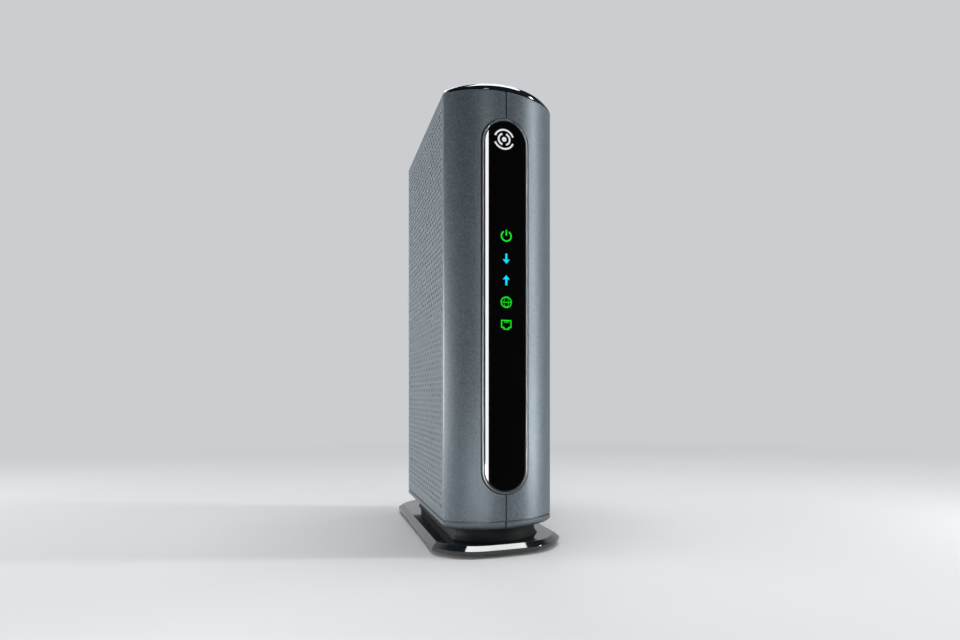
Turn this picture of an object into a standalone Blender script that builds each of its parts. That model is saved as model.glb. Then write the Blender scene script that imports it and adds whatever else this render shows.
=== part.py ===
"""Upright cable modem: two half shells with perforated side panels, crowned top cap, curved
front window with light guide, electronics, rear connectors, two push buttons and a stand.

Frame: +Z up, front faces -Y, width along X, origin at the centre of the footprint on the floor.
All driving sizes below are millimetres; the mesh helpers turn them into metres."""

import math

import bmesh
import bpy
from mathutils import Matrix, Vector

# ---------------------------------------------------------------- driving sizes (mm)
MM = 0.001
GAP = 0.2                    # clearance between neighbouring pieces

Y_SHIFT = -71.6              # moves the front-centre line (y = 0 below) so the footprint is centred

BODY_HALF_W = 24.0           # half width of the housing
FRONT_R = 28.5               # radius of the bowed front
CORNER_R = 2.5               # soft corner between bowed front and flat side
BODY_DEPTH = 123.5           # front apex to rear face
REAR_R = 1.5
WALL = 2.0

BODY_Z0 = 11.0               # underside of the housing
CHAMFER_Z = 12.2             # top of the chamfer under the housing
GROOVE_Z0, GROOVE_Z1, GROOVE_DEEP = 14.0, 14.5, 0.7
BODY_Z1 = 196.2              # top of the shells
SEAM = 0.2                   # half width of the parting line

WIN_Y0, WIN_Y1 = 15.6, 121.2     # side opening that takes the perforated panel
WIN_Z0, WIN_Z1 = 18.0, 192.2
VENT_COLS, VENT_ROWS = 6, 20     # vent cells across and up one panel
VENT_HALF_Y, VENT_HALF_Z = 5.2, 2.9

CAP_Z0, CAP_WALL_SIDE, CAP_TOP_Z = 196.4, 197.5, 200.0
CAP_INSET, CAP_BEVEL = 0.25, 1.3

SLOT_HALF_W = 10.1           # pill opening in the front
SLOT_Z0, SLOT_Z1 = 25.7, 184.8
TRIM_OUT, TRIM_IN = 9.85, 9.1
LENS_HALF_W = 8.95
LENS_THICK = 1.5
ICON_Z = (135.1, 125.5, 116.4, 107.1, 97.6)

PANEL_HALF_W, PANEL_Z0, PANEL_Z1 = 17.0, 20.0, 144.0
PANEL_Y0, PANEL_Y1 = 121.7, 123.2
CONN_X = -4.0                # connector centre line
COAX_Z, RJ_Z, DC_Z, POWER_Z, RESET_Z = 78.0, 108.0, 50.0, 31.0, 132.0
COAX_TIP_Y = 133.0
POWER_TRAVEL, RESET_TRAVEL = 2.5, 1.0

PCB_X0, PCB_X1 = 3.0, 4.6
PCB_Y0, PCB_Y1, PCB_Z0, PCB_Z1 = 9.5, 120.0, 24.0, 188.0
POST_Y = (32.0, 96.0)
POST_LOW_Z, POST_HIGH_Z = 28.0, 184.0

BASE_Z0, BASE_EDGE_Z, BASE_TOP_Z = 1.5, 3.3, 5.1
BASE_HALF_W, BASE_CHAMFER = 28.5, 2.4
BASE_FRONT_CORNER_Y, BASE_FRONT_Y = 13.6, -3.8
BASE_REAR_CORNER_Y, BASE_REAR_Y = 130.0, 147.0
NECK_INSET = 6.0
FOOT_R, FOOT_X, FOOT_Y = 4.5, 19.5, (20.0, 122.0)
SCREW_X, SCREW_Y = 9.0, (34.0, 94.0)

# ---------------------------------------------------------------- scene clean-up
for old in list(bpy.data.objects):
    bpy.data.objects.remove(old, do_unlink=True)
COLLECTION = bpy.context.scene.collection


# ---------------------------------------------------------------- helpers
def material(name, color, metallic=0.0, roughness=0.5, emission=None):
    mat = bpy.data.materials.new(name)
    mat.use_nodes = True
    shader = mat.node_tree.nodes["Principled BSDF"]
    shader.inputs["Base Color"].default_value = (*color, 1.0)
    shader.inputs["Metallic"].default_value = metallic
    shader.inputs["Roughness"].default_value = roughness
    if emission:
        shader.inputs["Emission Color"].default_value = (*emission, 1.0)
        shader.inputs["Emission Strength"].default_value = 1.0
    mat.diffuse_color = (*color, 1.0)
    return mat


MATS = {
    "paint": material("metallic_grey_paint", (0.16, 0.20, 0.23), 0.35, 0.45),
    "vent": material("grille_grey_paint", (0.14, 0.18, 0.20), 0.35, 0.5),
    "gloss": material("gloss_black", (0.012, 0.015, 0.018), 0.0, 0.12),
    "lens": material("lens_black", (0.004, 0.004, 0.005), 0.0, 0.05),
    "trim": material("trim_silver", (0.45, 0.46, 0.48), 0.9, 0.3),
    "clear": material("light_guide_clear", (0.75, 0.8, 0.8), 0.0, 0.2),
    "green": material("led_green", (0.05, 0.7, 0.12), 0.0, 0.3, (0.0, 0.8, 0.1)),
    "cyan": material("led_cyan", (0.05, 0.6, 0.8), 0.0, 0.3, (0.0, 0.6, 0.9)),
    "amber": material("led_amber", (0.9, 0.45, 0.05), 0.0, 0.3),
    "board": material("board_green", (0.02, 0.16, 0.07), 0.0, 0.5),
    "chip": material("chip_black", (0.03, 0.03, 0.035), 0.0, 0.6),
    "pad": material("thermal_pad", (0.45, 0.5, 0.62), 0.0, 0.8),
    "alu": material("bare_aluminium", (0.62, 0.63, 0.65), 1.0, 0.35),
    "steel": material("screw_steel", (0.4, 0.4, 0.42), 1.0, 0.3),
    "tin": material("tinned_can", (0.6, 0.6, 0.6), 1.0, 0.4),
    "nickel": material("nickel_plate", (0.62, 0.6, 0.56), 1.0, 0.25),
    "brass": material("gold_contact", (0.75, 0.55, 0.2), 1.0, 0.3),
    "black": material("matte_black", (0.02, 0.02, 0.022), 0.0, 0.55),
    "panel": material("panel_dark_grey", (0.05, 0.055, 0.06), 0.0, 0.5),
    "ivory": material("dielectric_ivory", (0.8, 0.77, 0.68), 0.0, 0.5),
    "rubber": material("foot_rubber", (0.03, 0.03, 0.03), 0.0, 0.9),
    "red": material("reset_red", (0.5, 0.04, 0.03), 0.0, 0.5),
    "copper": material("winding_copper", (0.6, 0.28, 0.12), 1.0, 0.4),
}


def finish(name, bm, mat, smooth=True, pivot=(0.0, 0.0, 0.0)):
    """Turns a millimetre bmesh into a named object in metres whose origin is at pivot."""
    bmesh.ops.recalc_face_normals(bm, faces=bm.faces)
    move = Matrix.Scale(MM, 4) @ Matrix.Translation(Vector((0.0, Y_SHIFT, 0.0)) - Vector(pivot))
    bmesh.ops.transform(bm, matrix=move, verts=bm.verts)
    mesh = bpy.data.meshes.new(name)
    bm.to_mesh(mesh)
    bm.free()
    if sum_volume(mesh) < 0:
        mesh.flip_normals()
    obj = bpy.data.objects.new(name, mesh)
    COLLECTION.objects.link(obj)
    obj.location = Vector(pivot) * MM
    mesh.materials.append(MATS[mat])
    if smooth:
        mesh.shade_smooth()
        mesh.set_sharp_from_angle(angle=math.radians(32))
    return obj


def sum_volume(mesh):
    mesh.calc_loop_triangles()
    total = 0.0
    for tri in mesh.loop_triangles:
        a, b, c = (mesh.vertices[i].co for i in tri.vertices)
        total += a.dot(b.cross(c))
    return total


def prism(points, low, high, axis="z"):
    """Extrudes a closed outline. axis z: points are (x, y); axis x: (y, z); axis y: (x, z)."""
    bm = bmesh.new()

    def at(p, h):
        return {"z": (p[0], p[1], h), "x": (h, p[0], p[1]), "y": (p[0], h, p[1])}[axis]

    a = [bm.verts.new(at(p, low)) for p in points]
    b = [bm.verts.new(at(p, high)) for p in points]
    n = len(points)
    bm.faces.new(a)
    bm.faces.new(list(reversed(b)))
    for i in range(n):
        bm.faces.new((a[i], b[i], b[(i + 1) % n], a[(i + 1) % n]))
    return bm


def loft(rings):
    """Closed solid through rings that all have the same number of points, capped at both ends."""
    bm = bmesh.new()
    made = [[bm.verts.new(p) for p in ring] for ring in rings]
    n = len(rings[0])
    bm.faces.new(made[0])
    bm.faces.new(list(reversed(made[-1])))
    for low, high in zip(made, made[1:]):
        for i in range(n):
            bm.faces.new((low[i], high[i], high[(i + 1) % n], low[(i + 1) % n]))
    return bm


def box(x0, x1, y0, y1, z0, z1):
    return prism([(x0, y0), (x1, y0), (x1, y1), (x0, y1)], z0, z1)


def circle(cx, cy, r, n=32, turn=0.0):
    return [
        (cx + r * math.cos(turn + 2 * math.pi * i / n), cy + r * math.sin(turn + 2 * math.pi * i / n))
        for i in range(n)
    ]


def revolve_y(profile, cx, cz, n=32):
    """Solid of revolution about the line x = cx, z = cz. profile is a list of (radius, y) that
    starts and ends on the axis."""
    bm = bmesh.new()
    rings = []
    for r, y in profile:
        if r < 1e-6:
            rings.append([bm.verts.new((cx, y, cz))])
        else:
            rings.append(
                [
                    bm.verts.new((cx + r * math.cos(2 * math.pi * i / n), y, cz + r * math.sin(2 * math.pi * i / n)))
                    for i in range(n)
                ]
            )
    for low, high in zip(rings, rings[1:]):
        for i in range(n):
            j = (i + 1) % n
            if len(low) == 1:
                bm.faces.new((low[0], high[i], high[j]))
            elif len(high) == 1:
                bm.faces.new((low[i], low[j], high[0]))
            else:
                bm.faces.new((low[i], low[j], high[j], high[i]))
    return bm


def tube_y(profile, cx, cz, n=32):
    """Ring of revolution about x = cx, z = cz from a closed (radius, y) outline."""
    bm = bmesh.new()
    cols = []
    for i in range(n):
        a = 2 * math.pi * i / n
        cols.append([bm.verts.new((cx + r * math.cos(a), y, cz + r * math.sin(a))) for r, y in profile])
    m = len(profile)
    for i in range(n):
        a, b = cols[i], cols[(i + 1) % n]
        for k in range(m):
            bm.faces.new((a[k], a[(k + 1) % m], b[(k + 1) % m], b[k]))
    return bm


def temp(bm):
    """Working object in millimetres for a Boolean."""
    bmesh.ops.recalc_face_normals(bm, faces=bm.faces)
    mesh = bpy.data.meshes.new("work")
    bm.to_mesh(mesh)
    bm.free()
    if sum_volume(mesh) < 0:
        mesh.flip_normals()
    obj = bpy.data.objects.new("work", mesh)
    COLLECTION.objects.link(obj)
    return obj


def combine(base, steps):
    """Applies (operation, bmesh) steps to base in order and returns the result as a bmesh."""
    obj = temp(base)
    for operation, tool in steps:
        other = temp(tool)
        mod = obj.modifiers.new("b", "BOOLEAN")
        mod.operation = operation
        mod.object = other
        mod.solver = "EXACT"
        graph = bpy.context.evaluated_depsgraph_get()
        mesh = bpy.data.meshes.new_from_object(obj.evaluated_get(graph))
        obj.modifiers.clear()
        obj.data = mesh
        bpy.data.objects.remove(other, do_unlink=True)
    bm = bmesh.new()
    bm.from_mesh(obj.data)
    bpy.data.objects.remove(obj, do_unlink=True)
    bmesh.ops.remove_doubles(bm, verts=bm.verts, dist=1e-4)
    bmesh.ops.dissolve_degenerate(bm, dist=1e-4, edges=bm.edges)
    return bm


CUT, ADD, KEEP = "DIFFERENCE", "UNION", "INTERSECT"


# ---------------------------------------------------------------- plan of the housing
def front_y(x):
    """Front face depth at a given x."""
    return FRONT_R - math.sqrt(FRONT_R * FRONT_R - x * x)


def body_plan(inset=0.0, arc=36, fillet=4):
    """Housing outline: bowed front, soft corners, flat sides and rear. inset shrinks it evenly."""
    cx = BODY_HALF_W - CORNER_R
    cy = FRONT_R - math.sqrt((FRONT_R - CORNER_R) ** 2 - cx * cx)
    end = math.asin(cx / (FRONT_R - CORNER_R))
    half = []
    for i in range(arc // 2 + 1):
        t = end * i / (arc // 2)
        half.append((FRONT_R * math.sin(t), FRONT_R - FRONT_R * math.cos(t)))
    for i in range(1, fillet + 1):
        t = end + (math.pi / 2 - end) * i / fillet
        half.append((cx + CORNER_R * math.sin(t), cy - CORNER_R * math.cos(t)))
    for i in range(3 + 1):
        t = math.pi / 2 * i / 3
        half.append(
            (
                BODY_HALF_W - REAR_R + REAR_R * math.cos(t),
                BODY_DEPTH - REAR_R + REAR_R * math.sin(t),
            )
        )
    whole = half + [(-x, y) for x, y in reversed(half[1:])]
    mid = BODY_DEPTH / 2
    sx, sy = 1 - inset / BODY_HALF_W, 1 - inset / mid
    return [(x * sx, mid + (y - mid) * sy) for x, y in whole]


def ring(inset, z):
    return [(x, y, z) for x, y in body_plan(inset)]


def pill(half_w, z0, z1, n=12):
    """Stadium outline in (x, z), tall axis vertical."""
    top, low = z1 - half_w, z0 + half_w
    pts = [(half_w * math.cos(math.pi * i / n), top + half_w * math.sin(math.pi * i / n)) for i in range(n + 1)]
    pts += [
        (half_w * math.cos(math.pi + math.pi * i / n), low + half_w * math.sin(math.pi + math.pi * i / n))
        for i in range(n + 1)
    ]
    return pts


# ---------------------------------------------------------------- half shells
def shell(side):
    """side -1 is the left half, +1 the right half, which also carries the board posts."""
    x0, x1 = (SEAM, 30.0) if side > 0 else (-30.0, -SEAM)
    outer = loft([ring(1.4, BODY_Z0), ring(0.0, CHAMFER_Z), ring(0.0, BODY_Z1)])
    steps = [
        (CUT, prism(body_plan(WALL), BODY_Z0 + WALL, BODY_Z1 - WALL)),
        (KEEP, box(x0, x1, -5, 130, 5, 200)),
    ]
    groove = combine(
        prism([(x * 1.1, 60 + (y - 60) * 1.1) for x, y in body_plan()], GROOVE_Z0, GROOVE_Z1),
        [(CUT, prism(body_plan(GROOVE_DEEP), GROOVE_Z0 - 1, GROOVE_Z1 + 1))],
    )
    steps.append((CUT, groove))
    wx = (21.0, 26.0) if side > 0 else (-26.0, -21.0)
    steps.append((CUT, box(*wx, WIN_Y0, WIN_Y1, WIN_Z0, WIN_Z1)))
    steps.append((CUT, prism(pill(SLOT_HALF_W, SLOT_Z0, SLOT_Z1), -4, 9, "y")))
    steps.append(
        (
            CUT,
            box(
                -PANEL_HALF_W - GAP,
                PANEL_HALF_W + GAP,
                BODY_DEPTH - 6,
                BODY_DEPTH + 4,
                PANEL_Z0 - GAP,
                PANEL_Z1 + GAP,
            ),
        )
    )
    if side > 0:
        for y in POST_Y:
            for z0, z1, hz in (
                (BODY_Z0 + WALL - 0.5, POST_LOW_Z + 4, POST_LOW_Z),
                (POST_HIGH_Z - 4, BODY_Z1 - WALL + 0.5, POST_HIGH_Z),
            ):
                steps.append((ADD, box(PCB_X1 + GAP, 12.5, y - 4, y + 4, z0, z1)))
                steps.append((CUT, prism(circle(y, hz, 1.5, 16), PCB_X1 - 1, 10.8, "x")))
    for y in SCREW_Y:
        steps.append((CUT, prism(circle(side * SCREW_X, y, 1.8, 16), BODY_Z0 - 2, BODY_Z0 + WALL + 1)))
    return combine(outer, steps)


finish("shell_left", shell(-1), "paint")
finish("shell_right", shell(1), "paint")


# ---------------------------------------------------------------- perforated side panels
def side_panel(side):
    """Flat panel tiled with staggered cells, each with one diamond-shaped vent through it."""
    bm = bmesh.new()
    y0, y1 = WIN_Y0 + GAP, WIN_Y1 - GAP
    z0, z1 = WIN_Z0 + GAP, WIN_Z1 - GAP
    my, mz = 1.0, 3.0
    dy = (y1 - y0 - 2 * my) / VENT_COLS
    dz = (z1 - z0 - 2 * mz) / VENT_ROWS
    xo, xi = side * BODY_HALF_W, side * (BODY_HALF_W - WALL)
    cache = {}

    def v(x, y, z):
        key = (round(x, 4), round(y, 4), round(z, 4))
        if key not in cache:
            cache[key] = bm.verts.new((x, y, z))
        return cache[key]

    ys = [y0 + my + dy * i / 2 for i in range(2 * VENT_COLS + 1)]
    zs = [z0 + mz + dz * j for j in range(VENT_ROWS + 1)]
    for x in (xo, xi):
        for j in range(VENT_ROWS):
            za, zb = zs[j], zs[j + 1]
            start = 0 if j % 2 == 0 else 1
            if start:
                for k in (0, 2 * VENT_COLS - 1):
                    bm.faces.new((v(x, ys[k], za), v(x, ys[k + 1], za), v(x, ys[k + 1], zb), v(x, ys[k], zb)))
            for k in range(start, 2 * VENT_COLS - start, 2):
                c, m = ys[k + 1], (za + zb) / 2
                edge = [
                    v(x, ys[k], za), v(x, c, za), v(x, ys[k + 2], za),
                    v(x, ys[k + 2], zb), v(x, c, zb), v(x, ys[k], zb),
                ]
                hole = [v(x, c, m - VENT_HALF_Z), v(x, c + VENT_HALF_Y, m), v(x, c, m + VENT_HALF_Z), v(x, c - VENT_HALF_Y, m)]
                bm.faces.new((edge[0], edge[1], hole[0], hole[3]))
                bm.faces.new((edge[1], edge[2], hole[1], hole[0]))
                bm.faces.new((edge[2], edge[3], hole[1]))
                bm.faces.new((edge[3], edge[4], hole[2], hole[1]))
                bm.faces.new((edge[4], edge[5], hole[3], hole[2]))
                bm.faces.new((edge[5], edge[0], hole[3]))
        low = [v(x, y, zs[0]) for y in ys]
        high = [v(x, y, zs[-1]) for y in ys]
        left = [v(x, ys[0], z) for z in zs]
        right = [v(x, ys[-1], z) for z in zs]
        a, b = v(x, y0, z0), v(x, y1, z0)
        c, d = v(x, y1, z1), v(x, y0, z1)
        bm.faces.new([a, b] + list(reversed(low)))
        bm.faces.new([b, c] + list(reversed(right)))
        bm.faces.new([c, d] + high)
        bm.faces.new([d, a] + left)
    for j in range(VENT_ROWS):
        start = 0 if j % 2 == 0 else 1
        for k in range(start, 2 * VENT_COLS - start, 2):
            c, m = ys[k + 1], (zs[j] + zs[j + 1]) / 2
            path = [(c, m - VENT_HALF_Z), (c + VENT_HALF_Y, m), (c, m + VENT_HALF_Z), (c - VENT_HALF_Y, m)]
            for p, q in zip(path, path[1:] + path[:1]):
                bm.faces.new((v(xo, *p), v(xo, *q), v(xi, *q), v(xi, *p)))
    frame = [(y0, z0), (y1, z0), (y1, z1), (y0, z1)]
    for p, q in zip(frame, frame[1:] + frame[:1]):
        bm.faces.new((v(xo, *p), v(xo, *q), v(xi, *q), v(xi, *p)))
    return bm


finish("side_panel_left", side_panel(-1), "vent", smooth=False)
finish("side_panel_right", side_panel(1), "vent", smooth=False)


# ---------------------------------------------------------------- top cap
def cap_z(x, y):
    """Height of the crowned top surface."""
    u = x / BODY_HALF_W
    w = (y - BODY_DEPTH / 2) / (BODY_DEPTH / 2)
    return CAP_TOP_Z - 1.7 * u * u - 0.45 * w * w


def cap_ring(inset, drop=0.0, flat=None):
    return [(x, y, flat if flat is not None else cap_z(x, y) - drop) for x, y in body_plan(inset)]


finish(
    "top_cap",
    loft(
        [
            cap_ring(CAP_INSET, flat=CAP_Z0),
            cap_ring(CAP_INSET, drop=0.75),
            cap_ring(CAP_INSET + CAP_BEVEL),
            cap_ring(6.0),
            cap_ring(12.0),
            cap_ring(18.0),
            cap_ring(22.5),
        ]
    ),
    "gloss",
)


# ---------------------------------------------------------------- window, trim ring, light guide
def curved_pill(half_w, z0, z1, proud, thick, n=24):
    """Stadium plate that follows the bowed front."""
    bm = bmesh.new()
    top, low = z1 - half_w, z0 + half_w
    stations = [half_w * math.sin(math.pi * (i / n - 0.5)) for i in range(n + 1)]
    grid = []
    for x in stations:
        rise = math.sqrt(max(half_w * half_w - x * x, 0.0))
        f = front_y(x) - proud
        grid.append(
            [bm.verts.new((x, y, z)) for y, z in ((f, low - rise), (f, top + rise), (f + thick, top + rise), (f + thick, low - rise))]
        )
    for a, b in zip(grid, grid[1:]):
        for k in range(4):
            bm.faces.new((a[k], a[(k + 1) % 4], b[(k + 1) % 4], b[k]))
    bm.faces.new(grid[0])
    bm.faces.new(list(reversed(grid[-1])))
    return bm


def trim_ring():
    outer = pill(TRIM_OUT, SLOT_Z0 + 0.25, SLOT_Z1 - 0.25, 20)
    inner = pill(TRIM_IN, SLOT_Z0 + 1.0, SLOT_Z1 - 1.0, 20)
    bm = bmesh.new()
    loops = []
    for pts, depth in ((outer, 0.15), (inner, 0.15), (inner, -2.4), (outer, -2.4)):
        loops.append([bm.verts.new((x, front_y(x) - depth, z)) for x, z in pts])
    n = len(outer)
    for k in range(4):
        a, b = loops[k], loops[(k + 1) % 4]
        for i in range(n):
            bm.faces.new((a[i], a[(i + 1) % n], b[(i + 1) % n], b[i]))
    return bm


finish("front_window", curved_pill(LENS_HALF_W, SLOT_Z0 + 1.15, SLOT_Z1 - 1.15, 0.1, LENS_THICK), "lens")
finish("window_trim", trim_ring(), "trim")


def light_guide():
    tip, root, back = 2.1, 5.0, 8.4
    pts = [(back, ICON_Z[-1] - 4.0), (back, ICON_Z[0] + 4.0), (root, ICON_Z[0] + 4.0)]
    for z in ICON_Z:
        pts += [(root, z + 2.3), (tip, z + 1.9), (tip, z - 1.9), (root, z - 2.3)]
    pts.append((root, ICON_Z[-1] - 4.0))
    return prism(pts, -2.0, 2.0, "x")


finish("light_guide", light_guide(), "clear", smooth=False)
for name, z, mat in zip(("power", "downstream", "upstream", "online", "link"), ICON_Z, ("green", "cyan", "cyan", "green", "green")):
    finish(f"led_{name}", box(PCB_X0 - 1.6, PCB_X0 - GAP, PCB_Y0 + 0.3, PCB_Y0 + 2.5, z - 1.4, z + 1.4), mat, smooth=False)


# ---------------------------------------------------------------- circuit board and what it carries
board_steps = [(CUT, prism(circle(y, z, 1.6, 16), PCB_X0 - 1, PCB_X1 + 1, "x")) for y in POST_Y for z in (POST_LOW_Z, POST_HIGH_Z)]
finish("circuit_board", combine(box(PCB_X0, PCB_X1, PCB_Y0, PCB_Y1, PCB_Z0, PCB_Z1), board_steps), "board", smooth=False)

FACE = PCB_X0 - GAP
finish("processor_chip", box(FACE - 1.6, FACE, 36, 56, 112, 132), "chip", smooth=False)
finish("thermal_pad", box(FACE - 2.6, FACE - 1.8, 37, 55, 113, 131), "pad", smooth=False)


def heatsink():
    """Fins along Z: comb outline in (x, y) extruded upward."""
    base_x, plate_x, tip_x = FACE - 2.8, FACE - 5.6, -17.0
    y0, y1, fins = 20.0, 72.0, 9
    pitch, half = (y1 - y0 - 1.4) / (fins - 1), 0.7
    pts = [(base_x, y0), (base_x, y1)]
    for i in reversed(range(fins)):
        c = y0 + half + pitch * i
        pts += [(plate_x, c + half), (tip_x, c + half), (tip_x, c - half), (plate_x, c - half)]
    clean = [p for i, p in enumerate(pts) if p != pts[i - 1]]
    return prism(clean, 84, 160)


finish("heatsink", heatsink(), "alu", smooth=False)
finish(
    "tuner_shield",
    combine(box(-6.5, FACE, 80, 107, 66, 92), [(CUT, box(-5.8, FACE + 1, 80.7, 106.3, 66.7, 91.3))]),
    "tin",
    smooth=False,
)
finish("memory_chip_a", box(FACE - 1.1, FACE, 77, 89, 120, 131), "chip", smooth=False)
finish("memory_chip_b", box(FACE - 1.1, FACE, 77, 89, 136, 147), "chip", smooth=False)
finish("capacitor_a", prism(circle(96, 38, 4.0, 24), -9.0, FACE, "x"), "black")
finish("capacitor_b", prism(circle(96, 48.5, 4.0, 24), -9.0, FACE, "x"), "black")
finish(
    "power_inductor",
    combine(prism(circle(82, 43, 5.5, 24), -3.5, FACE, "x"), [(CUT, prism(circle(82, 43, 2.2, 16), -5, FACE + 1, "x"))]),
    "copper",
)


def cross_screw(axis, center, head_r, shank_r, head0, head1, tip, n=16):
    """Pan head screw. center is the pair of the other two coordinates; head0 is the outer face."""
    flip = -1 if head0 > tip else 1
    loops = [
        circle(*center, head_r * 0.82, n), circle(*center, head_r, n), circle(*center, head_r, n),
        circle(*center, shank_r, n), circle(*center, shank_r, n), circle(*center, shank_r * 0.45, n),
    ]
    at = [head0, head0 + flip * 0.4, head1, head1, tip - flip * 0.8, tip]
    place = {"z": lambda p, h: (p[0], p[1], h), "x": lambda p, h: (h, p[0], p[1])}[axis]
    bm = loft([[place(p, h) for p in loop] for loop, h in zip(loops, at)])
    a, b = center
    lo, hi = sorted((head0 - flip * 0.5, head0 + flip * 0.9))
    arms = [
        prism([(a - head_r * 0.6, b - 0.35), (a + head_r * 0.6, b - 0.35), (a + head_r * 0.6, b + 0.35), (a - head_r * 0.6, b + 0.35)], lo, hi, axis),
        prism([(a - 0.35, b - head_r * 0.6), (a + 0.35, b - head_r * 0.6), (a + 0.35, b + head_r * 0.6), (a - 0.35, b + head_r * 0.6)], lo, hi, axis),
    ]
    return combine(bm, [(CUT, arm) for arm in arms])


for tag, y, z in (
    ("front_low", POST_Y[0], POST_LOW_Z), ("rear_low", POST_Y[1], POST_LOW_Z),
    ("front_high", POST_Y[0], POST_HIGH_Z), ("rear_high", POST_Y[1], POST_HIGH_Z),
):
    finish(f"board_screw_{tag}", cross_screw("x", (y, z), 2.8, 1.25, 1.2, FACE, 10.4), "steel")


# ---------------------------------------------------------------- rear panel and connectors
panel_steps = [
    (ADD, prism(circle(CONN_X, DC_Z, 5.5, 28), PANEL_Y1 - 0.5, PANEL_Y1 + 0.5, "y")),
    (CUT, prism(circle(CONN_X, COAX_Z, 4.95, 32), 115, 130, "y")),
    (CUT, box(CONN_X - 7.2, CONN_X + 7.2, 115, 130, RJ_Z - 8.2, RJ_Z + 8.2)),
    (CUT, prism(circle(CONN_X, DC_Z, 4.2, 28), 115, 130, "y")),
    (CUT, prism(circle(CONN_X, POWER_Z, 4.3, 28), 115, 130, "y")),
    (CUT, prism(circle(CONN_X, RESET_Z, 1.0, 16), 115, 130, "y")),
]
finish(
    "rear_panel",
    combine(box(-PANEL_HALF_W, PANEL_HALF_W, PANEL_Y0, PANEL_Y1, PANEL_Z0, PANEL_Z1), panel_steps),
    "panel",
    smooth=False,
)

thread = []
y = 126.6
while y < COAX_TIP_Y - 1.2:
    thread += [(4.25, y), (4.7, y + 0.4)]
    y += 0.8
coax_profile = (
    [(0.0, 111.0), (5.6, 111.0), (5.6, PANEL_Y0 - GAP), (4.7, PANEL_Y0 - GAP), (4.7, 126.2)]
    + thread
    + [(4.25, y), (4.5, COAX_TIP_Y - 0.4), (4.2, COAX_TIP_Y), (2.9, COAX_TIP_Y), (2.9, 123.0), (0.0, 123.0)]
)
finish("coax_connector", revolve_y(coax_profile, CONN_X, COAX_Z, 28), "nickel")
finish(
    "coax_dielectric",
    revolve_y([(0.0, 123.2), (2.7, 123.2), (2.7, 131.6), (0.75, 131.6), (0.55, 131.0), (0.55, 125.0), (0.0, 125.0)], CONN_X, COAX_Z, 20),
    "ivory",
)
finish(
    "coax_washer",
    tube_y([(4.95, PANEL_Y1 + 0.15), (6.6, PANEL_Y1 + 0.15), (6.6, PANEL_Y1 + 0.65), (4.95, PANEL_Y1 + 0.65)], CONN_X, COAX_Z, 28),
    "steel",
)
finish(
    "coax_nut",
    combine(
        prism(circle(CONN_X, COAX_Z, 6.35, 6), PANEL_Y1 + 0.8, PANEL_Y1 + 3.0, "y"),
        [(CUT, prism(circle(CONN_X, COAX_Z, 4.95, 28), 115, 130, "y"))],
    ),
    "nickel",
    smooth=False,
)

RJ_X0, RJ_X1 = CONN_X - 6.9, FACE
RJ_FACE = 123.4
rj_steps = [
    (CUT, box(CONN_X - 4.6, CONN_X + 3.6, 109.5, 130, RJ_Z - 5.95, RJ_Z + 5.95)),
    (CUT, box(CONN_X - 6.1, CONN_X - 4.4, 112.0, 130, RJ_Z - 3.1, RJ_Z + 3.1)),
    (CUT, box(CONN_X - 6.2, CONN_X - 4.8, 119.4, 130, RJ_Z + 3.9, RJ_Z + 7.2)),
    (CUT, box(CONN_X - 6.2, CONN_X - 4.8, 119.4, 130, RJ_Z - 7.2, RJ_Z - 3.9)),
]
finish("ethernet_jack", combine(box(RJ_X0, CONN_X + 6.8, 102, RJ_FACE, RJ_Z - 7.9, RJ_Z + 7.9), rj_steps), "black", smooth=False)


def contacts():
    """Eight spring fingers on one carrier bar against the inner wall of the socket."""
    x = CONN_X + 3.4
    steps = []
    for i in range(8):
        z = RJ_Z + (i - 3.5) * 1.02
        finger = [(110.6, x - 0.1), (110.6, x - 0.5), (118.6, x - 1.7), (118.8, x - 1.35)]
        bm = prism([(b, a) for a, b in finger], z - 0.23, z + 0.23, "z")
        steps.append((ADD, bm))
    return combine(box(x - 0.9, x, 109.7, 111.0, RJ_Z - 4.3, RJ_Z + 4.3), steps)


finish("ethernet_contacts", contacts(), "brass", smooth=False)
finish("link_light_a", box(CONN_X - 6.0, CONN_X - 5.0, 119.6, RJ_FACE, RJ_Z + 4.1, RJ_Z + 7.0), "green", smooth=False)
finish("link_light_b", box(CONN_X - 6.0, CONN_X - 5.0, 119.6, RJ_FACE, RJ_Z - 7.0, RJ_Z - 4.1), "amber", smooth=False)

finish(
    "power_jack",
    combine(
        box(CONN_X - 5.2, CONN_X + 5.2, 109, PANEL_Y0 - GAP, DC_Z - 5.2, DC_Z + 5.2),
        [
            (CUT, prism(circle(CONN_X, DC_Z, 3.2, 28), 112.5, 130, "y")),
            (CUT, prism(circle(CONN_X, DC_Z, 1.15, 16), 110.2, 130, "y")),
        ],
    ),
    "black",
)
finish(
    "power_jack_pin",
    revolve_y([(0.0, 110.4), (1.0, 110.4), (1.0, 119.6), (0.6, 120.2), (0.0, 120.2)], CONN_X, DC_Z, 16),
    "nickel",
)

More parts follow.
